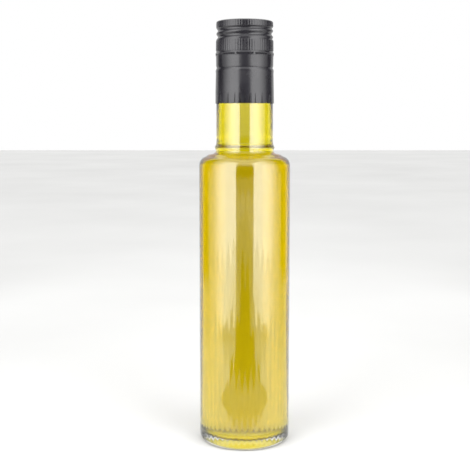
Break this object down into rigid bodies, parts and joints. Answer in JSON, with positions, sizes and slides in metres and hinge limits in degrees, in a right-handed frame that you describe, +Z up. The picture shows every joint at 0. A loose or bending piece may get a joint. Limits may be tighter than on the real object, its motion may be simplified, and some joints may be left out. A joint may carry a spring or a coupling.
{
  "type": "oil bottle",
  "caption": "Slim clear glass bottle filled with golden olive oil, shut with a black long-skirt screw cap.",
  "frame": {"origin": "middle of the foot ring, on the surface that the bottle stands on", "axes": "+Z up along the bottle's axis; the bottle looks alike from all sides"},
  "size_m": [0.05, 0.05, 0.2317],
  "materials": {
    "clear_glass": "clear flint glass, polished",
    "oil": "clear golden oil",
    "black_lacquer": "black satin lacquer on aluminium"
  },
  "bodies": {
    "root": {"glass_bottle": "clear_glass", "olive_oil": "oil", "screw_cap": "black_lacquer"}
  },
  "joints": []
}
